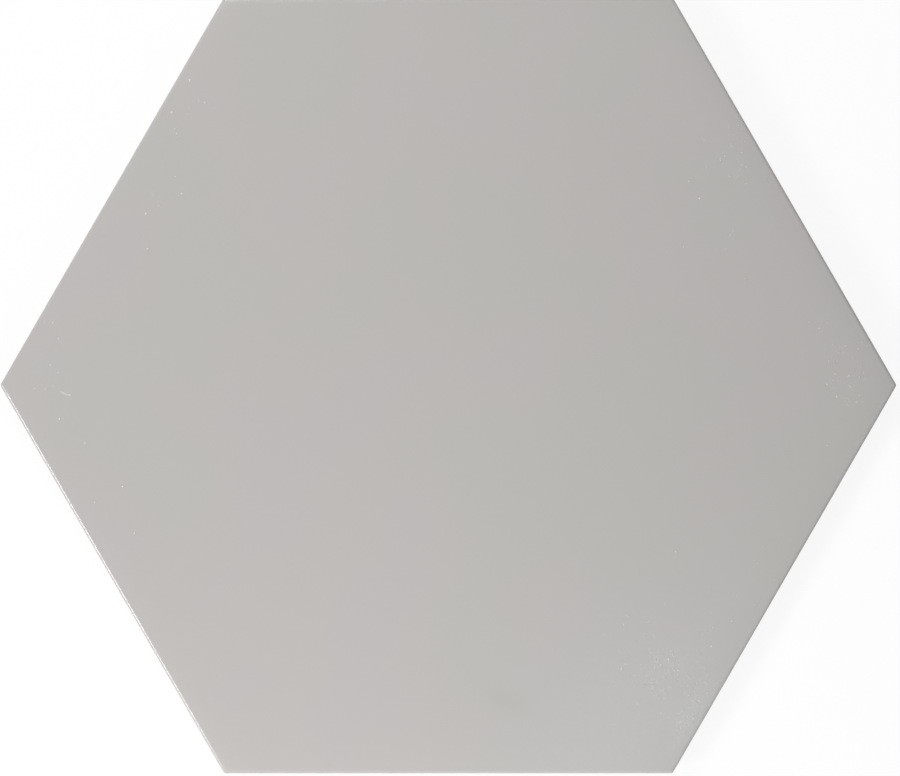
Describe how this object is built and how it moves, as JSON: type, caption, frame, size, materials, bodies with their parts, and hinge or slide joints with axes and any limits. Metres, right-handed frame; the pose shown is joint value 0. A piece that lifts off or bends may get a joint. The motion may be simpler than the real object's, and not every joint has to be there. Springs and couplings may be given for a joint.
{
  "type": "hexagon floor tile",
  "caption": "Regular hexagonal glazed floor tile: flat satin face, softly rounded edges, sides set back at the foot and a honeycomb-keyed back for bedding.",
  "frame": {"origin": "centre of the back, on the plane that the tile lies on", "axes": "+Z out of the glazed face, +X towards a corner, +Y square to a side"},
  "size_m": [0.2306, 0.2, 0.009],
  "materials": {
    "glazed_stoneware": "satin glaze, warm light grey; bare biscuit at the foot and back"
  },
  "bodies": {
    "root": {"tile": "glazed_stoneware"}
  },
  "joints": []
}
